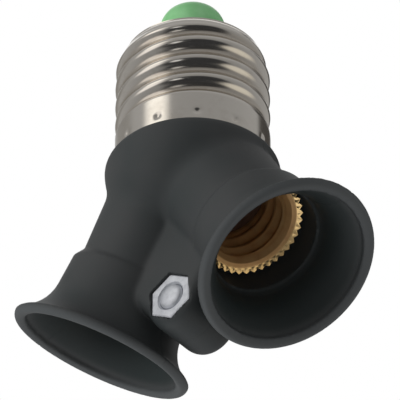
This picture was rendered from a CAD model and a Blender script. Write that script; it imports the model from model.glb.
"""Looks of a Y-shaped lamp socket adapter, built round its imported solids."""

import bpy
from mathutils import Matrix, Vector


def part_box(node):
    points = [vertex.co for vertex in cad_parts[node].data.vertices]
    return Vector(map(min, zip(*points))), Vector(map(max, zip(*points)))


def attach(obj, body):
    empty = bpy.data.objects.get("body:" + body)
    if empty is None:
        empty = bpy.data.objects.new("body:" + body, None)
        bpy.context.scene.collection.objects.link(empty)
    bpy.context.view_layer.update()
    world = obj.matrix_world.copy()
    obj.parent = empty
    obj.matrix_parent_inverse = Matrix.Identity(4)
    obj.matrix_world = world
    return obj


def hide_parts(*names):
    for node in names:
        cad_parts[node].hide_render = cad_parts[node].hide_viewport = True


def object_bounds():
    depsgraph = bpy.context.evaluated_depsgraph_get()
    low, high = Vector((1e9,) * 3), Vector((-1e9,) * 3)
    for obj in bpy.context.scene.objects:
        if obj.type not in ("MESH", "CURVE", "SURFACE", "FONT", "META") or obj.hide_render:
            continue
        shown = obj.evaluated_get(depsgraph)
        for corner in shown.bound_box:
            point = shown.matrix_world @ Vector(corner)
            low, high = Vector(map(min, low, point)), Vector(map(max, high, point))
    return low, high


bl_info = {
    "name": "Lamp Socket Adapter",
    "version": (1, 0, 0),
    "blender": (4, 5, 0),
    "location": "3D View > Sidebar > Adapter",
    "description": "Dresses a two-way lamp socket adapter with threads, moulded halves and finishes",
    "category": "Object",
}

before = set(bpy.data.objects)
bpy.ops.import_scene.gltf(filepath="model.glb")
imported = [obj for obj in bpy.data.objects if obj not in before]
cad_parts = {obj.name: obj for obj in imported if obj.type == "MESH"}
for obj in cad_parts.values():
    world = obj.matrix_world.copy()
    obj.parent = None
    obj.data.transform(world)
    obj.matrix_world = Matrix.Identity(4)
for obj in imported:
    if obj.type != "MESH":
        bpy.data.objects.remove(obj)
CAD_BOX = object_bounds()

from math import acos, atan2, ceil, cos, pi, radians, sin, sqrt, tan

import bpy
import numpy as np
from bpy.props import FloatProperty, FloatVectorProperty, IntProperty, PointerProperty
from mathutils import Matrix, Vector

BODY = "root"
SIDES = {"left": -1, "right": 1}
SHELL_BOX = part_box("screw_shell")
TIP_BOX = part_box("tip_insulator")
NUT_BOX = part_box("clamp_nut")
FULL_TURN = 2 * pi
QUARTER_TURN = pi / 2


# Settings that a user would change
def length(name, description, metres):
    return FloatProperty(name=name, description=description, default=metres, unit="LENGTH", precision=5)


def colour(name, description, rgb):
    return FloatVectorProperty(
        name=name, description=description, default=rgb, subtype="COLOR", size=3, min=0.0, max=1.0
    )


def angle(name, description, degrees):
    return FloatProperty(name=name, description=description, default=radians(degrees), subtype="ANGLE")


class AdapterHousing(bpy.types.PropertyGroup):
    dome_radius: length("Dome radius", "Round shoulder under the screw shell", 0.01475)
    dome_centre: length("Dome centre", "Height of the dome's centre", -0.0005)
    arm_angle: angle("Arm angle", "Lean of each arm", 31.5)
    arm_meet: length("Arms meet", "Height where the arm axes meet", 0.0025)
    tube_root_radius: length("Tube root radius", "Arm's tube where the arms meet", 0.0109)
    tube_end_radius: length("Tube end radius", "Arm's tube at the skirt", 0.01015)
    tube_shift: length("Tube shift", "Tube's axis, from the mouth's towards the other arm", 0.0007)
    shoulder_start: length("Shoulder start", "Foot of the skirt's shoulder, along the arm", 0.021)
    skirt_start: length("Skirt start", "Start of the skirt, along the arm", 0.0242)
    skirt_start_radius: length("Skirt start radius", "Skirt radius at its start", 0.0109)
    skirt_end: length("Skirt end", "Where the bell mouth begins, along the arm", 0.0296)
    skirt_end_radius: length("Skirt end radius", "Skirt radius at its end", 0.0112)
    rim_radius: length("Rim radius", "Widest radius of the bell mouth", 0.01575)
    rim_place: length("Rim place", "Widest place along the arm", 0.0365)
    lip_radius: length("Lip radius", "Crest of the lip", 0.0148)
    lip_place: length("Lip place", "Crest of the lip along the arm", 0.03785)
    lip_inner_radius: length("Lip inner radius", "Inner edge of the lip", 0.0137)
    lip_inner_place: length("Lip inner place", "Inner edge of the lip along the arm", 0.0373)
    lip_groove: length("Lip groove", "Depth of the lip's inner face, along the arm", 0.0008)
    bead: length("Lip bead", "Radius of the rolled bead of the lip", 0.00084)
    wall: length("Skirt wall", "Wall of the skirt", 0.0012)
    mouth_radius: length("Mouth radius", "Throat round the sleeve's flange", 0.00935)
    mouth_step_place: length("Throat step place", "Step inside the mouth, along the arm", 0.0286)
    mouth_step: length("Throat step", "Height of that step", 0.0003)
    web_half: length("Web half", "Half thickness of the web", 0.0064)
    web_arm: length("Web reach", "How far the web follows the arms", 0.027)
    web_foot: length("Web foot", "Half width of the web's foot", 0.0046)
    web_foot_place: length("Web foot place", "Height of the web's foot", -0.032)
    boss_radius: length("Boss radius", "Round boss for the clamp screw", 0.0053)
    boss_place: length("Boss place", "Height of the boss", (NUT_BOX[0].z + NUT_BOX[1].z) / 2)
    blend: length("Moulded blend", "Softness where the dome runs into the arms", 0.0013)
    notch: length("Outer blend", "Softness of the same join on the outer sides", 0.0006)
    web_blend: length("Web blend", "Softness where the web joins the arms", 0.0006)
    boss_blend: length("Boss blend", "Softness where the web runs into its boss", 0.0005)
    web_edge: length("Web rounding", "Rounding of the web's and the boss's edges", 0.0028)
    hollow_edge: length("Mouth rounding", "Rounding where the mouths cut the lips", 0.00028)
    step_edge: length("Step rounding", "Rounding of the skirt's step and the pockets", 0.00014)
    seam: length("Seam", "Half gap at the parting line", 0.000001)
    seam_groove: length("Seam groove", "Depth of the fine groove along the parting line", 0.00006)
    cell: length("Mesh cell", "Size of a mesh cell", 0.00034)


class AdapterMetal(bpy.types.PropertyGroup):
    crest: length("Shell crest radius", "Outside of the screw shell", SHELL_BOX[1].y)
    depth: length("Shell thread depth", "Depth of the rolled thread", 0.00095)
    pitch: length("Shell pitch", "Pitch of the rolled thread", 0.0040)
    turns: FloatProperty(name="Shell turns", description="Turns of rolled thread", default=3.42)
    band: length("Plain band", "Plain band under the thread", 0.0069)
    sheet: length("Sheet", "Thickness of the rolled sheet", 0.00045)
    shoulder_round: length("Shoulder round", "Round at the shoulder", 0.004)
    shoulder_slope: angle("Shoulder slope", "Slope of the shoulder", 36)
    collar: length("Collar radius", "Collar round the tip", 0.00665)
    hole: length("Shell hole", "Hole in the top of the shell", 0.0044)
    dots: IntProperty(name="Punch marks", description="Punch marks round the band", default=12)
    sleeve_root: length("Sleeve root radius", "Root of the sleeve's thread", 0.00705)
    sleeve_depth: length("Sleeve thread depth", "Depth of the sleeve's thread", 0.0008)
    sleeve_pitch: length("Sleeve pitch", "Pitch of the sleeve's thread", 0.00282)
    sleeve_start: length("Sleeve start", "Inner end of the sleeve, along the arm", 0.0144)
    sleeve_end: length("Sleeve end", "Outer end of the sleeve, along the arm", 0.0238)
    flange: length("Flange", "Thickness of the toothed flange", 0.0006)
    teeth: IntProperty(name="Teeth", description="Teeth round the flange", default=40)
    tooth_tip: length("Tooth tip radius", "Outside of the teeth", 0.0091)
    tooth_root: length("Tooth root radius", "Bottom of the teeth", 0.0086)
    nut_flats: length("Nut flats", "Width of the nut across its flats", 0.0076)
    nut_height: length("Nut height", "Height of the nut", NUT_BOX[1].y - NUT_BOX[0].y)
    nut_pocket: length("Nut pocket", "Depth of the nut's pocket", 0.0036)
    screw_radius: length("Screw radius", "Radius of the clamp screw", 0.0023)
    screw_end: length("Screw end", "How far the screw stands out of the nut", 0.0005)
    head_radius: length("Head radius", "Radius of the screw's head", 0.0038)
    head_height: length("Head height", "Height of the screw's head", 0.0024)
    head_pocket: length("Head pocket", "Depth of the head's pocket", 0.0018)


class AdapterTip(bpy.types.PropertyGroup):
    ring: length("Ring radius", "Ring under the nose", 0.0064)
    ring_height: length("Ring height", "Height of that ring", 0.0009)
    foot: length("Foot radius", "Foot of the nose", 0.0058)
    top: length("Top radius", "Top of the nose", 0.0027)
    top_place: length("Top place", "Height of the nose", TIP_BOX[1].z)


class AdapterColours(bpy.types.PropertyGroup):
    plastic: colour("Housing", "Moulded black", (0.0215, 0.0258, 0.0265))
    plastic_pale: colour("Housing bloom", "Paler patches of the moulding", (0.0345, 0.0352, 0.0358))
    plastic_deep: colour("Mouths", "Smooth black inside the mouths", (0.0105, 0.0156, 0.0158))
    plastic_lip: colour("Lips", "Rubbed beads of the lips", (0.046, 0.0505, 0.0525))
    nickel: colour("Nickel", "Plated shell", (0.74, 0.70, 0.64))
    nickel_dull: colour("Dull nickel", "Tarnish in the grooves", (0.46, 0.40, 0.33))
    brass: colour("Brass", "Bright brass", (0.86, 0.60, 0.28))
    brass_dull: colour("Toned brass", "Brass in the depth of a sleeve", (0.42, 0.22, 0.085))
    green: colour("Nose", "Green plastic of the tip", (0.12, 0.36, 0.13))
    green_pale: colour("Nose bloom", "Paler green", (0.19, 0.44, 0.20))
    rim: colour("Ring", "Pale ring round the nose", (0.42, 0.47, 0.41))
    zinc: colour("Zinc", "Plated nut and screw", (0.66, 0.68, 0.72))
    zinc_dull: colour("Dull zinc", "Dull patches of the plating", (0.50, 0.52, 0.555))
    board: colour("Board", "Insulating discs", (0.10, 0.045, 0.022))
    board_dark: colour("Dark board", "Fibres of the discs", (0.05, 0.022, 0.012))


def settings(context):
    return context.scene.adapter_housing, context.scene.adapter_metal, context.scene.adapter_tip


# Shader maths on sockets
class Wire:
    """One socket of a node tree, which takes part in sums."""

    def __init__(self, finish, socket):
        self.finish = finish
        self.socket = socket

    def _sum(self, operation, first, second):
        return self.finish.add("ShaderNodeMath", {"operation": operation}, {0: first, 1: second})

    def __add__(self, other):
        return self._sum("ADD", self, other)

    __radd__ = __add__

    def __sub__(self, other):
        return self._sum("SUBTRACT", self, other)

    def __rsub__(self, other):
        return self._sum("SUBTRACT", other, self)

    def __mul__(self, other):
        return self._sum("MULTIPLY", self, other)

    __rmul__ = __mul__


class Finish:
    """The node tree of a material or a world, under construction."""

    def __init__(self, owner):
        self.owner = owner
        self.owner.use_nodes = True
        self.tree = owner.node_tree
        self.tree.nodes.clear()

    def add(self, kind, settings=None, inputs=None, output=0):
        node = self.tree.nodes.new(kind)
        for key, value in (settings or {}).items():
            setattr(node, key, value)
        for key, value in (inputs or {}).items():
            if isinstance(value, Wire):
                self.tree.links.new(value.socket, node.inputs[key])
            else:
                node.inputs[key].default_value = value
        return Wire(self, node.outputs[output]) if node.outputs else node

    def place(self):
        return self.add("ShaderNodeTexCoord", output="Object")

    def stretched(self, scale):
        return self.add("ShaderNodeMapping", None, {"Vector": self.place(), "Scale": scale})

    def mark(self, name):
        return self.add("ShaderNodeAttribute", {"attribute_name": name}, output="Fac")

    def ray(self, kind):
        return self.add("ShaderNodeLightPath", output=f"Is {kind} Ray")

    def noise(self, scale, detail=3.0, vector=None, rough=0.5):
        inputs = {"Vector": vector or self.place(), "Scale": scale, "Detail": detail, "Roughness": rough}
        return self.add("ShaderNodeTexNoise", None, inputs)

    def ramp(self, value, low, high, shape="LINEAR"):
        inputs = {"Value": value, "From Min": low, "From Max": high}
        return self.add("ShaderNodeMapRange", {"interpolation_type": shape}, inputs)

    def cloud(self, low, high, **noise):
        return self.ramp(self.noise(**noise), low, high)

    def along(self, way, axis):
        return self.add("ShaderNodeVectorMath", {"operation": "DOT_PRODUCT"}, {0: way, 1: axis}, "Value")

    def cone(self, way, axis, low, high):
        return self.ramp(self.along(way, axis.normalized()), low, high, "SMOOTHSTEP")

    def grey(self, level):
        inputs = {"Red": level, "Green": level, "Blue": level}
        return self.add("ShaderNodeCombineColor", None, inputs, "Color")

    def mix(self, factor, first, second):
        pick = {"data_type": "RGBA", "blend_type": "MIX"}
        colours = [c if isinstance(c, Wire) else (*c, 1.0) for c in (first, second)]
        return self.add("ShaderNodeMix", pick, {0: factor, 6: colours[0], 7: colours[1]}, 2)

    def bump(self, height, strength, distance=0.00003):
        inputs = {"Height": height, "Strength": strength, "Distance": distance}
        return self.add("ShaderNodeBump", None, inputs)

    def surface(self, sockets):
        shader = self.add("ShaderNodeBsdfPrincipled", None, sockets)
        self.add("ShaderNodeOutputMaterial", None, {"Surface": shader})
        return self.owner


def new_finish(name):
    return Finish(bpy.data.materials.new(name))


# Finishes
def moulded_black(tones):
    make = new_finish("moulded_black")
    cloud = make.cloud(0.3, 0.75, scale=70.0, detail=4.0)
    spark = make.cloud(0.3, 0.7, scale=5200.0, detail=2.0)
    base = make.mix(cloud, tones.plastic, tones.plastic_pale)
    base = make.mix(make.mark("mouth"), base, tones.plastic_deep)
    base = make.mix(make.mark("lip"), base, tones.plastic_lip)
    return make.surface({
        "Base Color": base,
        "Roughness": 0.52 + cloud * 0.08 + spark * 0.06,
        "Normal": make.bump(make.noise(scale=2600.0), strength=0.22),
        "IOR": 1.42,
    })


def plated_nickel(tones):
    make = new_finish("plated_nickel")
    streaks = make.noise(scale=900.0, detail=4.0, vector=make.stretched((0.25, 0.25, 6.0)))
    stain = make.cloud(0.52, 0.8, scale=220.0, detail=5.0, rough=0.65)
    dull = make.mark("groove") * 0.55 + stain * 0.35
    return make.surface({
        "Base Color": make.mix(dull, tones.nickel, tones.nickel_dull),
        "Roughness": 0.13 + make.ramp(streaks, 0.3, 0.8) * 0.08 + dull * 0.10,
        "Metallic": 1.0,
        "Normal": make.bump(streaks, strength=0.05),
    })


def toned_brass(tones):
    make = new_finish("toned_brass")
    depth = make.mark("depth")
    stain = make.cloud(0.45, 0.8, scale=420.0, detail=5.0, rough=0.6)
    dull = depth * 0.8 + stain * 0.3
    return make.surface({
        "Base Color": make.mix(dull, tones.brass, tones.brass_dull),
        "Roughness": 0.20 + dull * 0.2,
        "Metallic": 1 - depth * 0.45,
        "Normal": make.bump(make.noise(scale=1500.0), strength=0.08),
    })


def strip_brass(tones):
    make = new_finish("strip_brass")
    dull = make.cloud(0.35, 0.8, scale=350.0, detail=5.0, rough=0.6)
    return make.surface({
        "Base Color": make.mix(dull, tones.brass, tones.brass_dull),
        "Roughness": 0.26 + dull * 0.2,
        "Metallic": 1.0,
        "Normal": make.bump(make.noise(scale=1800.0), strength=0.06, distance=0.00002),
    })


def green_nose(tones):
    make = new_finish("green_nose")
    cloud = make.cloud(0.35, 0.7, scale=260.0, detail=4.0)
    green = make.mix(cloud, tones.green, tones.green_pale)
    return make.surface({
        "Base Color": make.mix(make.mark("rim"), green, tones.rim),
        "Roughness": 0.34 + cloud * 0.1,
        "Normal": make.bump(make.noise(scale=1600.0), strength=0.1),
        "Coat Weight": 0.15,
    })


def plated_zinc(tones):
    make = new_finish("plated_zinc")
    cloud = make.cloud(0.4, 0.75, scale=700.0, detail=5.0, rough=0.65)
    lines = make.noise(scale=1200.0, vector=make.stretched((6.0, 1.0, 0.4)))
    return make.surface({
        "Base Color": make.mix(cloud, tones.zinc, tones.zinc_dull),
        "Roughness": 0.42 + cloud * 0.12,
        "Metallic": 0.8,
        "Normal": make.bump(lines, strength=0.06),
    })


def pressed_board(tones):
    make = new_finish("pressed_board")
    grain = make.stretched((1.0, 3.0, 1.0))
    fibres = make.cloud(0.35, 0.7, scale=900.0, detail=5.0, vector=grain, rough=0.7)
    return make.surface({
        "Base Color": make.mix(fibres, tones.board, tones.board_dark),
        "Roughness": 0.62 + fibres * 0.15,
        "Normal": make.bump(fibres, strength=0.2, distance=0.00004),
    })


# Meshes; edges over the sharp angle, in degrees, stay crisp
def mesh_piece(name, points, quads, material, sharp, marks=None):
    mesh = bpy.data.meshes.new(name)
    mesh.from_pydata(points, [], quads)
    mesh.validate()
    for key, values in (marks or {}).items():
        layer = mesh.attributes.new(key, "FLOAT", "POINT")
        layer.data.foreach_set("value", np.asarray(values, np.float32).ravel())
    mesh.shade_smooth()
    mesh.set_sharp_from_angle(angle=radians(sharp))
    mesh.materials.append(material)
    piece = bpy.data.objects.new(name, mesh)
    bpy.context.scene.collection.objects.link(piece)
    return piece


def stand_for(piece, slot, *nodes):
    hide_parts(*nodes)
    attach(piece, BODY)


# Closed skin over a grid of points: rows run round a section, columns run round the axis
def ring_quads(rows, columns):
    r = np.arange(rows)[:, None]
    c = np.arange(columns)[None, :]
    up = (r + 1) % rows
    on = (c + 1) % columns
    quads = np.stack([r * columns + c, r * columns + on, up * columns + on, up * columns + c], -1)
    return quads.reshape(-1, 4)


def grid_piece(name, points, material, sharp=38, marks=None):
    quads = ring_quads(*points.shape[:2])
    return mesh_piece(name, points.reshape(-1, 3), quads, material, sharp, marks)


# Radius, height and angle over the grid of a section that is turned about its axis
def turned(line, columns):
    r = np.repeat(line[:, :1], columns, 1)
    z = np.repeat(line[:, 1:], columns, 1)
    around = np.arange(columns) * FULL_TURN / columns
    return r, z, np.repeat(around[None, :], len(line), 0)


def turn_points(r, z, a):
    return np.stack([r * np.cos(a), r * np.sin(a), z], -1)


# Points round the clamp screw's axis, with y towards the back for a way of 1 and the front for -1
def clamp_points(h, r, y, a, way):
    return np.stack([r * np.cos(a), way * y, h.boss_place - way * r * np.sin(a)], -1)


# Steps of a round corner
ARC_STEP = radians(18)
ARC_STEPS_LEAST = 3


# Points along a closed section, with round corners where a corner gives a radius after its place
def section(corners, spacing):
    corners = [(np.array(c[:2], float), c[2] if len(c) > 2 else 0.0) for c in corners]
    points = []
    count = len(corners)
    for n, (here, radius) in enumerate(corners):
        before, after = corners[n - 1][0], corners[(n + 1) % count][0]
        if radius <= 0:
            points.append(here)
            continue
        to_before = (before - here) / np.linalg.norm(before - here)
        to_after = (after - here) / np.linalg.norm(after - here)
        half = 0.5 * acos(float(np.clip(to_before @ to_after, -1, 1)))
        reach = radius / tan(half)
        middle = to_before + to_after
        centre = here + middle / np.linalg.norm(middle) * radius / sin(half)
        first = here + to_before * reach - centre
        last = here + to_after * reach - centre
        steps = max(ARC_STEPS_LEAST, ceil((pi - 2 * half) / ARC_STEP))
        for k in range(steps + 1):
            arm = first * (1 - k / steps) + last * (k / steps)
            points.append(centre + arm / np.linalg.norm(arm) * radius)
    full = []
    for n, here in enumerate(points):
        after = points[(n + 1) % len(points)]
        steps = max(1, ceil(np.linalg.norm(after - here) / spacing))
        full += [here + (after - here) * k / steps for k in range(steps)]
    return np.array(full)


def arm_frame(housing, side):
    a = housing.arm_angle
    out = Vector((side * sin(a), 0, -cos(a)))
    away = Vector((side * cos(a), 0, sin(a)))
    across = out.cross(away)
    axes = Matrix((away, across, out)).transposed().to_4x4()
    return Matrix.Translation((0, 0, housing.arm_meet)) @ axes


def moved(points, matrix):
    m = np.array(matrix)
    return points @ m[:3, :3].T + m[:3, 3]


def ease(value, low, high):
    t = np.clip((value - low) / (high - low), 0, 1)
    return t * t * (3 - 2 * t)


# The same, over a span that is measured from a place
def ease_near(value, place, span):
    return ease(value, place + span[0], place + span[1])


# Distance fields of the moulded housing
def soft_min(a, b, k):
    h = np.clip(0.5 + 0.5 * (b - a) / k, 0, 1)
    return b + (a - b) * h - k * h * (1 - h)


def soft_max(a, b, k):
    return -soft_min(-a, -b, k)


def span_distance(value, low, high):
    return np.maximum(value - high, low - value)


FAR = 1e9


def outline_distance(u, v, outline):
    best = np.full(u.shape, FAR)
    inside = np.zeros(u.shape, bool)
    for n in range(len(outline)):
        (ax, ay), (bx, by) = outline[n - 1], outline[n]
        ex, ey = bx - ax, by - ay
        t = np.clip(((u - ax) * ex + (v - ay) * ey) / (ex * ex + ey * ey), 0, 1)
        best = np.minimum(best, (u - ax - t * ex) ** 2 + (v - ay - t * ey) ** 2)
        if ey != 0:
            crosses = (ay > v) != (by > v)
            inside ^= crosses & (u < ax + (v - ay) * ex / ey)
    return np.where(inside, -1, 1) * np.sqrt(best)


# Arc that leaves a point along a direction and ends at another point
def leaving_arc(start, end, direction, steps):
    start, end, direction = (np.array(x, float) for x in (start, end, direction))
    direction = direction / np.linalg.norm(direction)
    across = np.array((-direction[1], direction[0]))
    chord = end - start
    turn = atan2(across @ chord, direction @ chord)
    points = []
    for k in range(1, steps + 1):
        bend = turn * (k / steps)
        reach = np.linalg.norm(chord) * sin(bend) / sin(turn)
        points.append(tuple(start + reach * (cos(bend) * direction + sin(bend) * across)))
    return points


# Small sizes of the arms and their hollows
FLARE_WAY = (0.06, 1)
FLARE_STEPS = 10
LIP_STEPS = 5
SLEEVE_GAP = 0.00025
WELL_RADIUS = 0.0053
WELL_START = 0.0032
WELL_END = 0.0014
MOUTH_PAST = 0.002
MOUTH_PAST_WIDTH = 0.003


# Outlines of an arm's solids run past its axis, so that the axis itself lies well inside
def tube_outline(h):
    past = -h.wall
    return [(past, 0), (h.tube_root_radius, 0), (h.tube_end_radius, h.skirt_start), (past, h.skirt_start)]


def skirt_outline(h):
    past = -h.wall
    foot = h.tube_end_radius - 2 * h.tube_shift
    skirt_end, rim = (h.skirt_end_radius, h.skirt_end), (h.rim_radius, h.rim_place)
    return [
        (past, h.lip_place),
        (past, h.shoulder_start),
        (foot, h.shoulder_start),
        (h.skirt_start_radius, h.skirt_start),
        skirt_end,
        *leaving_arc(skirt_end, rim, FLARE_WAY, FLARE_STEPS),
        *leaving_arc(rim, (h.lip_radius, h.lip_place), (0, 1), LIP_STEPS),
    ]


# Well for the contacts, bore for the sleeve, throat round its flange, and bell mouth
def hollow_outline(h, m):
    throat_end = (h.skirt_end_radius - h.wall, h.skirt_end)
    groove = (h.lip_inner_radius, h.lip_inner_place - h.lip_groove)
    seat = m.sleeve_end - m.flange
    bore = m.sleeve_root + m.sheet + SLEEVE_GAP
    past = h.lip_place + MOUTH_PAST
    return [
        (0, m.sleeve_start - WELL_START),
        (WELL_RADIUS, m.sleeve_start - WELL_START),
        (WELL_RADIUS, m.sleeve_start - WELL_END),
        (bore, m.sleeve_start - WELL_END),
        (bore, seat),
        (h.mouth_radius, seat),
        (h.mouth_radius, h.mouth_step_place),
        (h.mouth_radius + h.mouth_step, h.mouth_step_place),
        throat_end,
        *leaving_arc(throat_end, groove, FLARE_WAY, FLARE_STEPS),
        (h.lip_inner_radius, h.lip_inner_place),
        (h.lip_radius, h.lip_place),
        (h.lip_radius + MOUTH_PAST_WIDTH, past),
        (0, past),
    ]


def web_outline(h):
    reach = h.web_arm * sin(h.arm_angle)
    drop = h.arm_meet - h.web_arm * cos(h.arm_angle)
    return [
        (0, h.arm_meet - h.tube_end_radius),
        (-reach, drop),
        (-h.web_foot, h.web_foot_place),
        (h.web_foot, h.web_foot_place),
        (reach, drop),
    ]


# Offset from an arm's axis in the arms' plane, distance from it and place along it
def arm_place(h, side, p):
    x, z = side * p[:, 0], p[:, 2] - h.arm_meet
    away = x * cos(h.arm_angle) + z * sin(h.arm_angle)
    along = x * sin(h.arm_angle) - z * cos(h.arm_angle)
    return away, np.hypot(away, p[:, 1]), along


# Flats of the nut and gaps in the clamp's pockets
NUT_TURNS = np.radians((0, 60, 120))
NUT_GAP = 0.0001
HEAD_GAP = 0.00025
SCREW_GAP = 0.0001


# Pocket for the nut in the front half or for the screw's head in the rear one, and the screw's hole
def clamp_hollow(h, m, front, x, y, z):
    off_axis = np.hypot(x, z - h.boss_place)
    if front:
        flats = [np.abs(x * cos(t) + (z - h.boss_place) * sin(t)) for t in NUT_TURNS]
        pocket = np.maximum.reduce(flats) - m.nut_flats / 2 - NUT_GAP
        floor = h.web_half - m.nut_pocket
    else:
        pocket = off_axis - m.head_radius - HEAD_GAP
        floor = h.web_half - m.head_pocket
    return np.minimum(np.maximum(pocket, floor - y), off_axis - m.screw_radius - SCREW_GAP)


# Small sizes of the moulding
DOME_EDGE = 0.0016
ARM_DROP = 0.0004
OUTER_SIDE = (0.003, 0.009)
BEAD_DROP = 0.0002
BEAD_BLEND = 0.0002
SPIGOT_GAP = 0.0001
SPIGOT_HEIGHTS = (-0.001, 0.0054)
CHAMBER_RADIUS = 0.01
CHAMBER_HEIGHTS = (-0.004, 0.01)
SEAM_WIDTH = 0.0001


# Field of one half, with y measured from the parting plane; negative inside
def half_field(h, m, front):
    tube, skirt, hollow, web = tube_outline(h), skirt_outline(h), hollow_outline(h, m), web_outline(h)
    bead_place = h.lip_place - h.bead - BEAD_DROP
    spigot_radius = m.crest - m.sheet - SPIGOT_GAP

    def field(p):
        x, y, z = p[:, 0], p[:, 1], p[:, 2]
        dome = np.sqrt(x * x + y * y + (z - h.dome_centre) ** 2) - h.dome_radius
        body = soft_max(dome, z, DOME_EDGE)
        open_space = np.full(x.shape, FAR)
        bead = np.full(x.shape, FAR)
        for side in SIDES.values():
            away, radius, along = arm_place(h, side, p)
            stem = outline_distance(np.hypot(away + h.tube_shift, y), along, tube)
            arm = soft_min(stem, outline_distance(radius, along, skirt), h.step_edge)
            arm = np.maximum(arm, z + ARM_DROP)
            softness = h.notch + (h.blend - h.notch) * (1 - ease(away, *OUTER_SIDE))
            body = soft_min(body, arm, softness)
            open_space = np.minimum(open_space, outline_distance(radius, along, hollow))
            bead = np.minimum(bead, np.hypot(radius - h.lip_radius, along - bead_place) - h.bead)
        boss = np.hypot(x, z - h.boss_place) - h.boss_radius
        panel = soft_min(outline_distance(x, z, web), boss, h.boss_blend)
        panel = soft_max(panel, y - h.web_half, h.web_edge)
        body = np.maximum(soft_min(body, panel, h.web_blend), z)
        neck = np.hypot(x, y)
        spigot = np.maximum(neck - spigot_radius, span_distance(z, *SPIGOT_HEIGHTS))
        chamber = np.maximum(neck - CHAMBER_RADIUS, span_distance(z, *CHAMBER_HEIGHTS))
        body = np.minimum(body, spigot)
        body = soft_max(body, -np.minimum(open_space, chamber), h.hollow_edge)
        body = soft_max(body, -clamp_hollow(h, m, front, x, y, z), h.step_edge)
        body = soft_min(body, bead, BEAD_BLEND)
        return body + h.seam_groove * np.exp(-((y / SEAM_WIDTH) ** 2))

    return field


# Layer of the flat face, cells inside it where its points stay, and steps onto the field
FLAT_LAYER = 1
FLAT_HOLD = 0.8
PULL_ROUNDS = 4
SLOPE_STEP = 2e-6
SLOPE_LEAST = 0.2


# Skin of a field that a flat face shuts: one point in each crossed cell of a grid, drawn onto the field
def field_skin(field, low, high, cell, flat):
    low, high = np.array(low), np.array(high)
    low[1] = flat - (FLAT_LAYER + 0.5) * cell
    count = np.ceil((high - low) / cell).astype(int) + 1
    axes = [low[k] + cell * np.arange(count[k]) for k in range(3)]
    values = np.empty(count)
    for n, x in enumerate(axes[0]):
        y, z = np.meshgrid(axes[1], axes[2], indexing="ij")
        layer = field(np.stack([np.full(y.size, x), y.ravel(), z.ravel()], -1)).reshape(y.shape)
        values[n] = np.maximum(layer, flat - y)
    points, quads, layer = cell_points(values)
    points = low + cell * points
    parting = layer == FLAT_LAYER
    points[parting, 1] = flat
    steps = np.eye(3) * SLOPE_STEP
    for _ in range(PULL_ROUNDS):
        here = field(points)
        slope = np.stack([field(points + step) - here for step in steps], -1) / SLOPE_STEP
        slope[parting, 1] = 0
        size = np.maximum((slope * slope).sum(1), SLOPE_LEAST)
        pull = np.clip(here / size, -cell / 2, cell / 2)
        pull[parting & (here < -FLAT_HOLD * cell)] = 0
        points = points - pull[:, None] * slope
    return points, quads


# Points, faces and y layers of the cells that a sign change crosses
def cell_points(values):
    inside = values < 0
    cells = np.array(values.shape) - 1
    total = np.zeros(cells)
    middle = np.zeros((*cells, 3))
    span = [slice(0, -1), slice(1, None)]
    for axis in range(3):
        others = [k for k in range(3) if k != axis]
        for i, j in ((0, 0), (0, 1), (1, 0), (1, 1)):
            pick = [None, None, None]
            pick[others[0]], pick[others[1]] = span[i], span[j]
            first, last = list(pick), list(pick)
            first[axis], last[axis] = span
            a, b = values[tuple(first)], values[tuple(last)]
            cut = (a < 0) != (b < 0)
            total += cut
            middle[..., axis] += np.where(cut, a / np.where(cut, a - b, 1), 0)
            middle[..., others[0]] += cut * i
            middle[..., others[1]] += cut * j
    used = total > 0
    number = np.full(cells, -1)
    number[used] = np.arange(used.sum())
    at_cell = np.argwhere(used)
    quads = []
    for axis in range(3):
        one, two = (axis + 1) % 3, (axis + 2) % 3
        first, last = [slice(None)] * 3, [slice(None)] * 3
        first[axis], last[axis] = span
        flip = inside[tuple(first)] != inside[tuple(last)]
        for k in (one, two):
            flip[(slice(None),) * k + (0,)] = False
            flip[(slice(None),) * k + (-1,)] = False
        at = np.argwhere(flip)
        shift = np.zeros((4, 3), int)
        shift[1, one] = shift[2, one] = shift[2, two] = shift[3, two] = 1
        quad = np.stack([number[tuple((at - s).T)] for s in shift], -1)
        outward = inside[tuple(first)][tuple(at.T)]
        quad[~outward] = quad[~outward][:, ::-1]
        quads.append(quad)
    return at_cell + middle[used] / total[used][:, None], np.concatenate(quads), at_cell[:, 1]


# Fades of the marks in the mouths
WALL_NEAR = (0.0002, 0.0006)
THROAT_TONE = 0.3
THROAT_BEFORE = 0.002
THROAT_AFTER = 0.003
MOUTH_FADE = (-0.0010, 0.0002)
LIP_FADE = (-0.0004, 0.0010)
LIP_RADII = (0.012, 0.0132)


# Marks of the mouths' walls, which fade under the lips and in the throat, and of the lips' beads
def mouth_marks(h, m, points):
    hollow = hollow_outline(h, m)
    under = h.lip_inner_place - h.lip_groove
    mouth, lip = np.zeros(len(points)), np.zeros(len(points))
    for side in SIDES.values():
        _, radius, along = arm_place(h, side, points)
        near = 1 - ease(np.abs(outline_distance(radius, along, hollow)), *WALL_NEAR)
        deep = ease(along, h.mouth_step_place - THROAT_BEFORE, h.skirt_end + THROAT_AFTER)
        shade = (THROAT_TONE + (1 - THROAT_TONE) * deep) * (1 - ease_near(along, under, MOUTH_FADE))
        mouth = np.maximum(mouth, near * shade)
        lip = np.maximum(lip, ease_near(along, under, LIP_FADE) * ease(radius, *LIP_RADII))
    return {"mouth": mouth, "lip": lip}


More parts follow.
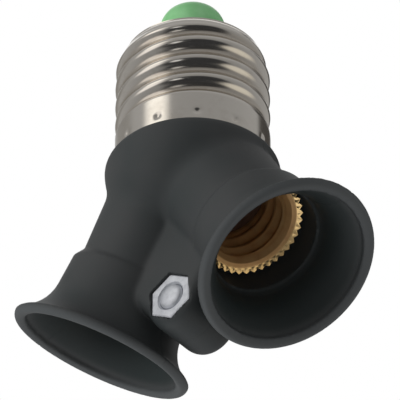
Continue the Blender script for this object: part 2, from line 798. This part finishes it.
def housing_half(context, name, front, material):
    h, m, _ = settings(context)
    low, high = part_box(name)
    edge = 2 * h.cell
    deep = max(abs(low.y), abs(high.y))
    corners = (low.x - edge, 0, low.z - edge), (high.x + edge, deep + edge, high.z + edge)
    points, quads = field_skin(half_field(h, m, front), *corners, h.cell, h.seam)
    marks = mouth_marks(h, m, points)
    if front:
        points = points * (1, -1, 1)
        quads = quads[:, ::-1]
    piece = mesh_piece("moulded_" + name, points, quads, material, sharp=50, marks=marks)
    stand_for(piece, "housing", name)


# Small sizes of the screw shell
SHELL_COLUMNS = 224
SHELL_SPACING = 0.00024
SHELL_SKIN = 0.7
FOOT_ROUND = 0.00018
FOOT_INNER_ROUND = 0.00015
FOOT_HEIGHT = 0.001
BAND_FALL = 0.0008
BAND_RISE = 0.0002
BAND_ROUND = 0.0006
KNEE_OUT = 0.00002
COLLAR_ROUND = 0.0005
THREAD_PHASE = 0.11
THREAD_FULLNESS = 0.85
THREAD_START = (-0.0009, 0.0006)
THREAD_END = (-0.0004, 0.0012)
GROOVE_TONE = (0.1, 1.0)


# Mean radius and top of the shell's thread, and the top and roof of its shoulder
def shell_places(m):
    mid = m.crest - m.depth / 2
    top = m.band + m.pitch * m.turns
    turn = QUARTER_TURN - m.shoulder_slope
    shoulder_radius = mid - m.shoulder_round * (1 - cos(turn))
    shoulder = top + m.shoulder_round * sin(turn)
    roof = shoulder + (shoulder_radius - m.collar) * tan(m.shoulder_slope)
    return mid, top, shoulder, roof


# Rolled screw shell, with its thread as a wave on the section
def make_shell(context, material):
    _, m, _ = settings(context)
    mid, top, shoulder, roof = shell_places(m)
    knee = top + m.shoulder_round * tan(0.5 * (QUARTER_TURN - m.shoulder_slope))
    bore = m.crest - m.depth - m.sheet
    inner = m.crest - m.sheet
    corners = [
        (m.crest, 0, FOOT_ROUND),
        (m.crest, m.band - BAND_FALL, BAND_ROUND),
        (mid, m.band + BAND_RISE),
        (mid, top),
        (mid + KNEE_OUT, knee, m.shoulder_round),
        (m.collar, roof, COLLAR_ROUND),
        (m.hole, roof),
        (m.hole, roof - m.sheet),
        (bore, shoulder - m.sheet),
        (bore, m.band - m.sheet),
        (inner, m.band - 2 * m.sheet),
        (inner, 0, FOOT_INNER_ROUND),
    ]
    line = section(corners, SHELL_SPACING)
    r, z, a = turned(line, SHELL_COLUMNS)
    skin = r > m.crest - SHELL_SKIN * m.depth
    wave = -np.sin(FULL_TURN * ((z - m.band) / m.pitch - a / FULL_TURN - THREAD_PHASE))
    wave = np.sign(wave) * np.abs(wave) ** THREAD_FULLNESS
    fade = ease_near(z, m.band, THREAD_START) * (1 - ease_near(z, top, THREAD_END))
    threaded = skin & (z > FOOT_HEIGHT)
    r = r + np.where(threaded, fade * wave * m.depth / 2, 0)
    r = r - np.where(skin & (z < m.band), band_marks(m, a, z), 0)
    groove = np.where(threaded, fade * ease(-wave, *GROOVE_TONE), 0)
    piece = grid_piece("rolled_shell", turn_points(r, z, a), material, marks={"groove": groove})
    stand_for(piece, "nickel", "screw_shell")


# Punch marks round the band
MARK_START = radians(-49)
MARK_HEIGHT = 0.0021
MARK_RADIUS = 0.0005
MARK_DEPTH = 0.00036


def band_marks(m, a, z):
    sunk = np.zeros(a.shape)
    for n in range(m.dots):
        off = (a - MARK_START - FULL_TURN * n / m.dots + pi) % FULL_TURN - pi
        away = np.hypot(off * m.crest, z - MARK_HEIGHT)
        sunk += MARK_DEPTH * np.exp(-((away / MARK_RADIUS) ** 2))
    return sunk


# Small sizes of the nose
NOSE_COLUMNS = 128
NOSE_STEPS = 24
NOSE_FULLNESS = 2.8
NOSE_GAP = 0.00004
RING_SPACING = 0.0001
RING_FOOT_ROUND = 0.0001
RING_TOP_ROUND = 0.0003
RIVET_HOLE = 0.00095
STEM_GAP = 0.0001
STEM_DEPTH = 0.0015


# Green nose of the tip on its pale ring
def make_nose(context, material):
    _, m, tip = settings(context)
    *_, roof = shell_places(m)
    low = roof + NOSE_GAP
    high = low + tip.ring_height
    corners = [
        (tip.foot, low),
        (tip.ring, low, RING_FOOT_ROUND),
        (tip.ring, high, RING_TOP_ROUND),
        (tip.foot, high),
    ]
    ring = section(corners, RING_SPACING)[:-1]
    dome = []
    for k in range(NOSE_STEPS + 1):
        rise = sin(QUARTER_TURN * k / NOSE_STEPS)
        full = sqrt(1 - rise ** NOSE_FULLNESS)
        dome.append((tip.top + (tip.foot - tip.top) * full, high + (tip.top_place - high) * rise))
    stem = m.hole - STEM_GAP
    bottom = low - STEM_DEPTH
    below = [(RIVET_HOLE, tip.top_place), (RIVET_HOLE, bottom), (stem, bottom), (stem, low)]
    line = np.concatenate([ring, dome, below])
    r, z, a = turned(line, NOSE_COLUMNS)
    rim = np.zeros(r.shape)
    rim[: len(ring)] = 1
    piece = grid_piece("green_nose", turn_points(r, z, a), material, marks={"rim": rim})
    stand_for(piece, "green_plastic", "tip_insulator")


# Small sizes of a sleeve: falls from its end, rises from its flange's seat
TOOTH_COLUMNS = 10
SLEEVE_SPACING = 0.0002
FUNNEL_START = 0.0014
FUNNEL_START_ROUND = 0.0005
FUNNEL_OUT = 0.00035
FUNNEL_RISE = 0.0001
FUNNEL_END_ROUND = 0.0004
LIP_IN = 0.0005
LIP_FALL = 0.0003
LIP_ROUND = 0.0002
TOOTH_FALL = 0.00015
TOOTH_RISE = 0.00008
TOOTH_ROUND = 0.00006
INSIDE_SLACK = 0.00005
SEAT_SLACK = 0.00001
SLEEVE_RUN_IN = (0.0004, 0.0012)
SLEEVE_RUN_OUT = (-0.0021, -0.0014)
PROUD_IN = 0.0003
DISH = 0.00022
PLEAT = 0.0002
PLEAT_FADE = (0, 0.0003)
BRIGHT_CREST = (-1.0, -0.4)
BRIGHT_DEPTH = (0.003, 0.008)
BRIGHT_SHARE = 0.5
BRIGHT_LIP = (-0.0001, 0.0001)


# Threaded sleeve with a pleated, saw-toothed flange
def make_sleeve(context, name, side, material):
    h, m, _ = settings(context)
    root = m.sleeve_root
    mid = root - m.sleeve_depth / 2
    outer = root + m.sheet
    seat = m.sleeve_end - m.flange
    lip = m.tooth_root - LIP_IN
    corners = [
        (mid, m.sleeve_start),
        (mid, m.sleeve_end - FUNNEL_START, FUNNEL_START_ROUND),
        (root + FUNNEL_OUT, seat + FUNNEL_RISE, FUNNEL_END_ROUND),
        (lip, m.sleeve_end - LIP_FALL, LIP_ROUND),
        (m.tooth_tip, m.sleeve_end - TOOTH_FALL, TOOTH_ROUND),
        (m.tooth_tip, seat + TOOTH_RISE, TOOTH_ROUND),
        (outer, seat),
        (outer, m.sleeve_start),
    ]
    line = section(corners, SLEEVE_SPACING)
    r, s, a = turned(line, m.teeth * TOOTH_COLUMNS)
    inside = r < root + INSIDE_SLACK
    wave = np.cos(FULL_TURN * ((s - m.sleeve_start) / m.sleeve_pitch + a / FULL_TURN))
    fade = ease_near(s, m.sleeve_start, SLEEVE_RUN_IN)
    fade = fade * (1 - ease_near(s, m.sleeve_end, SLEEVE_RUN_OUT))
    r = r + np.where(inside, fade * wave * m.sleeve_depth / 2, 0)
    tooth = 1 - np.abs(2 * ((a * m.teeth / FULL_TURN) % 1.0) - 1)
    out = np.clip((r - lip) / (m.tooth_tip - lip), 0, 1)
    r = r + (m.tooth_root + (m.tooth_tip - m.tooth_root) * tooth - m.tooth_tip) * out
    proud = (s > seat - SEAT_SLACK) * ease(r, root, outer - PROUD_IN)
    pleat = PLEAT * (tooth - 0.5) * ease_near(r, lip, PLEAT_FADE)
    s = s + proud * (DISH * out + pleat)
    crest = fade * (1 - ease(wave, *BRIGHT_CREST)) * (1 - ease(m.sleeve_end - s, *BRIGHT_DEPTH))
    depth = (1 - BRIGHT_SHARE * crest) * (1 - ease_near(r, lip, BRIGHT_LIP))
    points = moved(turn_points(r, s, a), arm_frame(h, side))
    piece = grid_piece("toothed_" + name, points, material, sharp=32, marks={"depth": depth})
    stand_for(piece, "brass", name)


# Small sizes of the nut
NUT_COLUMNS = 144
NUT_BEVEL = 0.00022
NUT_HOLE_GAP = 0.00006
NUT_HOLE_BEVEL = 0.0003


# Hex nut with broken edges
def make_nut(context, material):
    h, m, _ = settings(context)
    base = h.web_half - m.nut_pocket
    face = base + m.nut_height
    around = (np.arange(NUT_COLUMNS) + 0.5) * FULL_TURN / NUT_COLUMNS
    from_flat = (around + pi / 6) % (pi / 3) - pi / 6
    hexagon = m.nut_flats / 2 / np.cos(from_flat)
    hole = np.full(NUT_COLUMNS, m.screw_radius + NUT_HOLE_GAP)
    rows = [
        (hole, base),
        (hexagon - NUT_BEVEL, base),
        (hexagon, base + NUT_BEVEL / 2),
        (hexagon, face - NUT_BEVEL / 2),
        (hexagon - NUT_BEVEL, face),
        (hole + NUT_HOLE_BEVEL, face),
        (hole, face - NUT_HOLE_BEVEL),
    ]
    r = np.array([radius for radius, _ in rows])
    y = np.array([np.full(NUT_COLUMNS, place) for _, place in rows])
    a = np.repeat(around[None, :], len(rows), 0)
    piece = grid_piece("hex_nut", clamp_points(h, r, y, a, way=-1), material, sharp=20)
    stand_for(piece, "steel", "clamp_nut")


# Small sizes of the screw's end and head
SCREW_COLUMNS = 96
SCREW_TIP = 0.00002
END_STEPS = 8
END_SHARE = 0.95
END_RISE = 0.0006
END_EDGE = 0.0009
HEAD_STEPS = 12
HEAD_RIM = 0.0006
HEAD_FULLNESS = 0.6
HEAD_TIP = 0.004


# Clamp screw with a rounded end and a domed head
def make_screw(context, material):
    h, m, _ = settings(context)
    end = -(h.web_half - m.nut_pocket + m.nut_height + m.screw_end)
    seat = h.web_half - m.head_pocket
    line = [(SCREW_TIP, end)]
    for k in range(1, END_STEPS + 1):
        t = QUARTER_TURN * k / END_STEPS
        line.append((m.screw_radius * END_SHARE * sin(t), end + END_RISE * (1 - cos(t))))
    line += [(m.screw_radius, end + END_EDGE), (m.screw_radius, seat), (m.head_radius, seat)]
    for k in range(HEAD_STEPS + 1):
        t = QUARTER_TURN * k / HEAD_STEPS
        radius = m.head_radius * max(cos(t) ** HEAD_FULLNESS, HEAD_TIP)
        line.append((radius, seat + HEAD_RIM + (m.head_height - HEAD_RIM) * sin(t)))
    r, y, a = turned(np.array(line), SCREW_COLUMNS)
    piece = grid_piece("pan_screw", clamp_points(h, r, y, a, way=1), material, sharp=30)
    stand_for(piece, "steel", "clamp_screw")


# Camera that was fitted to the picture: radians, metres, and pixels of a square picture
CAMERA_PLACE = Vector((0.43545, -0.56089, -0.56198))
CAMERA_AZIMUTH = 0.6582
CAMERA_ELEVATION = -0.66379
CAMERA_ROLL = -0.00194
CAMERA_REACH = 5423.5
CAMERA_CENTRE = (201.20, 200.30)
CAMERA_SENSOR = 36.0
CAMERA_CLIP = (0.05, 20.0)
PICTURE = 400


# Right, up and back of the picture
def camera_axes():
    a, e, t = CAMERA_AZIMUTH, CAMERA_ELEVATION, CAMERA_ROLL
    back = Vector((sin(a) * cos(e), -cos(a) * cos(e), sin(e)))
    level = Vector((cos(a), sin(a), 0))
    rise = back.cross(level)
    right = level * cos(t) + rise * sin(t)
    up = rise * cos(t) - level * sin(t)
    return right, up, back


def toward(view, shares):
    return sum((share * axis for share, axis in zip(shares, view)), Vector())


def set_camera(scene, view):
    data = bpy.data.cameras.new("photo_camera")
    data.sensor_width = CAMERA_SENSOR
    data.lens = CAMERA_REACH / PICTURE * CAMERA_SENSOR
    data.shift_x = (PICTURE / 2 - CAMERA_CENTRE[0]) / PICTURE
    data.shift_y = (CAMERA_CENTRE[1] - PICTURE / 2) / PICTURE
    data.clip_start, data.clip_end = CAMERA_CLIP
    camera = bpy.data.objects.new("photo_camera", data)
    axes = Matrix(view).transposed().to_4x4()
    camera.matrix_world = Matrix.Translation(CAMERA_PLACE) @ axes
    scene.collection.objects.link(camera)
    scene.camera = camera


# What metal mirrors: an even room that is dark where the picture is taken from
WHITE = (1.0, 1.0, 1.0)
ROOM_LEVEL = 0.335
ROOM_TO_RIGHT = 0.02
ROOM_TO_BACK = 0.10
DARK_WAY = (0.12, 0.30, 1.0)
DARK_SPREAD = 0.45
DARK_EDGES = (0.60, 0.80)
DARK_TONE = (0.03, 0.031, 0.033)

# Patches of that room: way in shares of right, up and back, cosines of its edge and full part, and tone
PATCHES = {
    "dim right rear": ((0.50, 0.11, -0.86), 0.91, 0.97, (0.06, 0.056, 0.052)),
    "dim left rear": ((-0.69, 0.0, -0.73), 0.84, 0.97, (0.28, 0.275, 0.265)),
    "upper left glow": ((-0.67, 0.74, 0.0), 0.94, 0.997, (1.35, 1.32, 1.26)),
    "small glow": ((-0.33, 0.41, 0.85), 0.985, 0.997, WHITE),
    "pale below": ((-0.28, -0.93, 0.19), 0.75, 0.95, (0.95, 0.96, 0.98)),
    "left glow": ((-0.82, 0.42, 0.30), 0.90, 0.985, (1.1, 1.06, 1.03)),
    "right glow": ((0.76, -0.36, 0.45), 0.86, 0.97, (0.70, 0.66, 0.58)),
}
BACKDROP_WAY = (0.0, 0.35, -1.0)
BACKDROP_EDGES = (0.93, 0.97)

# What lights the part: an even level that falls to the right, to the top and to the camera
LIGHT_LEVEL = 1.02
LIGHT_TO_RIGHT = 0.20
LIGHT_TO_TOP = 0.20
LIGHT_TO_BACK = 0.5


def set_world(scene, view):
    scene.world = bpy.data.worlds.new("studio")
    make = Finish(scene.world)
    right, _, back = view
    way = make.add("ShaderNodeTexCoord", output="Generated")
    to_right, to_back = make.along(way, right), make.along(way, back)
    dark_way = toward(view, DARK_WAY).normalized()
    tilt = make.along(way, right.cross(dark_way).normalized())
    dark = make.along(way, dark_way) - tilt * tilt * DARK_SPREAD
    grey = make.grey(ROOM_LEVEL - to_right * ROOM_TO_RIGHT - to_back * ROOM_TO_BACK)
    room = make.mix(make.ramp(dark, *DARK_EDGES, "SMOOTHSTEP"), grey, DARK_TONE)
    for shares, edge, full, tone in PATCHES.values():
        room = make.mix(make.cone(way, toward(view, shares), edge, full), room, tone)
    to_top = make.along(way, (0, 0, 1))
    front = make.ramp(to_back, 0.0, 1.0, "SMOOTHSTEP")
    level = LIGHT_LEVEL - to_right * LIGHT_TO_RIGHT - to_top * LIGHT_TO_TOP - front * LIGHT_TO_BACK
    mirrored = make.ray("Glossy") + make.ray("Transmission")
    light = make.mix(mirrored, make.grey(level), room)
    backdrop = make.cone(way, toward(view, BACKDROP_WAY), *BACKDROP_EDGES)
    tone = make.mix(make.ray("Camera") + mirrored * backdrop, light, WHITE)
    sky = make.add("ShaderNodeBackground", None, {"Color": tone, "Strength": 1.0})
    make.add("ShaderNodeOutputWorld", None, {"Surface": sky})


# Tones and place of the floor
FLOOR_TONES = (0.80, 0.80, 0.80), (0.84, 0.84, 0.84)
FLOOR_DROP = 0.012
FLOOR_REACH = 1.5


# Pale floor, which shows from above and lets the picture be taken from below
def set_floor(scene):
    make = new_finish("pale_floor")
    under = make.add("ShaderNodeNewGeometry", output="Backfacing")
    cloud = make.cloud(0.3, 0.7, scale=6.0)
    matte = make.add("ShaderNodeBsdfDiffuse", None, {"Color": make.mix(cloud, *FLOOR_TONES)})
    clear = make.add("ShaderNodeBsdfTransparent")
    shown = make.ray("Camera") * (1 - under)
    skin = make.add("ShaderNodeMixShader", None, {0: shown, 1: clear, 2: matte})
    make.add("ShaderNodeOutputMaterial", None, {"Surface": skin})
    low = CAD_BOX[0].z - FLOOR_DROP
    corners = [(x * FLOOR_REACH, y * FLOOR_REACH, low) for x, y in ((-1, -1), (1, -1), (1, 1), (-1, 1))]
    mesh = bpy.data.meshes.new("pale_floor")
    mesh.from_pydata(corners, [], [(0, 1, 2, 3)])
    mesh.materials.append(make.owner)
    floor = bpy.data.objects.new("pale_floor", mesh)
    scene.collection.objects.link(floor)


# Lamps: way in shares of right, up and back, size in metres and power in watts
LAMPS = {
    "left_softbox": ((-0.97, 0.10, 0.20), 0.30, 2.2),
    "right_softbox": ((0.95, 0.20, -0.10), 0.30, 0.25),
    "rear_softbox": ((-0.1, 0.60, -0.80), 0.40, 0.15),
}
LAMP_AIM = Vector((0, 0, -0.005))
LAMP_DISTANCE = 0.55


def set_lamps(scene, view):
    for name, (shares, size, power) in LAMPS.items():
        way = toward(view, shares)
        data = bpy.data.lights.new(name, "AREA")
        data.shape = "SQUARE"
        data.size = size
        data.energy = power
        lamp = bpy.data.objects.new(name, data)
        lamp.location = LAMP_AIM + way.normalized() * LAMP_DISTANCE
        lamp.visible_glossy = False
        lamp.rotation_mode = "QUATERNION"
        lamp.rotation_quaternion = way.to_track_quat("Z", "Y")
        scene.collection.objects.link(lamp)


# Operators
class ADAPTER_OT_housing(bpy.types.Operator):
    """Make the two moulded halves of the housing"""

    bl_idname = "adapter.housing"
    bl_label = "Moulded Halves"

    def execute(self, context):
        black = moulded_black(context.scene.adapter_colours)
        housing_half(context, "front_half", True, black)
        housing_half(context, "rear_half", False, black)
        return {"FINISHED"}


class ADAPTER_OT_shell(bpy.types.Operator):
    """Make the rolled screw shell"""

    bl_idname = "adapter.shell"
    bl_label = "Screw Shell"

    def execute(self, context):
        make_shell(context, plated_nickel(context.scene.adapter_colours))
        return {"FINISHED"}


class ADAPTER_OT_nose(bpy.types.Operator):
    """Make the green nose of the tip"""

    bl_idname = "adapter.nose"
    bl_label = "Tip Nose"

    def execute(self, context):
        make_nose(context, green_nose(context.scene.adapter_colours))
        return {"FINISHED"}


class ADAPTER_OT_sleeves(bpy.types.Operator):
    """Make the two threaded brass sleeves"""

    bl_idname = "adapter.sleeves"
    bl_label = "Brass Sleeves"

    def execute(self, context):
        brass = toned_brass(context.scene.adapter_colours)
        for name, side in SIDES.items():
            make_sleeve(context, name + "_sleeve", side, brass)
        return {"FINISHED"}


class ADAPTER_OT_fastening(bpy.types.Operator):
    """Make the clamp screw and its nut"""

    bl_idname = "adapter.fastening"
    bl_label = "Clamp Screw and Nut"

    def execute(self, context):
        zinc = plated_zinc(context.scene.adapter_colours)
        make_nut(context, zinc)
        make_screw(context, zinc)
        return {"FINISHED"}


class ADAPTER_OT_contacts(bpy.types.Operator):
    """Finish the contacts, strips and discs that stay as they were packed"""

    bl_idname = "adapter.contacts"
    bl_label = "Contacts and Strips"

    def execute(self, context):
        tones = context.scene.adapter_colours
        brass, board = strip_brass(tones), pressed_board(tones)
        for name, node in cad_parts.items():
            if node.hide_render:
                continue
            node.data.materials.clear()
            node.data.materials.append(board if name.endswith("contact_base") else brass)
        return {"FINISHED"}


class ADAPTER_OT_stage(bpy.types.Operator):
    """Set the floor, the studio light and the camera"""

    bl_idname = "adapter.stage"
    bl_label = "Stage"

    def execute(self, context):
        view = camera_axes()
        set_world(context.scene, view)
        set_floor(context.scene)
        set_lamps(context.scene, view)
        set_camera(context.scene, view)
        return {"FINISHED"}


class ADAPTER_PT_panel(bpy.types.Panel):
    """Adapter pieces in the sidebar"""

    bl_idname = "ADAPTER_PT_panel"
    bl_label = "Lamp Socket Adapter"
    bl_space_type = "VIEW_3D"
    bl_region_type = "UI"
    bl_category = "Adapter"

    def draw(self, context):
        for operator in OPERATORS:
            self.layout.operator(operator.bl_idname)


OPERATORS = (
    ADAPTER_OT_housing,
    ADAPTER_OT_shell,
    ADAPTER_OT_nose,
    ADAPTER_OT_sleeves,
    ADAPTER_OT_fastening,
    ADAPTER_OT_contacts,
    ADAPTER_OT_stage,
)
GROUPS = {
    "adapter_housing": AdapterHousing,
    "adapter_metal": AdapterMetal,
    "adapter_tip": AdapterTip,
    "adapter_colours": AdapterColours,
}


def register():
    for name, group in GROUPS.items():
        bpy.utils.register_class(group)
        setattr(bpy.types.Scene, name, PointerProperty(type=group))
    for kind in (*OPERATORS, ADAPTER_PT_panel):
        bpy.utils.register_class(kind)


def unregister():
    for kind in (ADAPTER_PT_panel, *reversed(OPERATORS)):
        bpy.utils.unregister_class(kind)
    for name, group in GROUPS.items():
        delattr(bpy.types.Scene, name)
        bpy.utils.unregister_class(group)


def main():
    register()
    bpy.context.scene.view_settings.view_transform = "Standard"
    bpy.ops.adapter.housing()
    bpy.ops.adapter.shell()
    bpy.ops.adapter.nose()
    bpy.ops.adapter.sleeves()
    bpy.ops.adapter.fastening()
    bpy.ops.adapter.contacts()
    bpy.ops.adapter.stage()


if __name__ == "__main__":
    main()
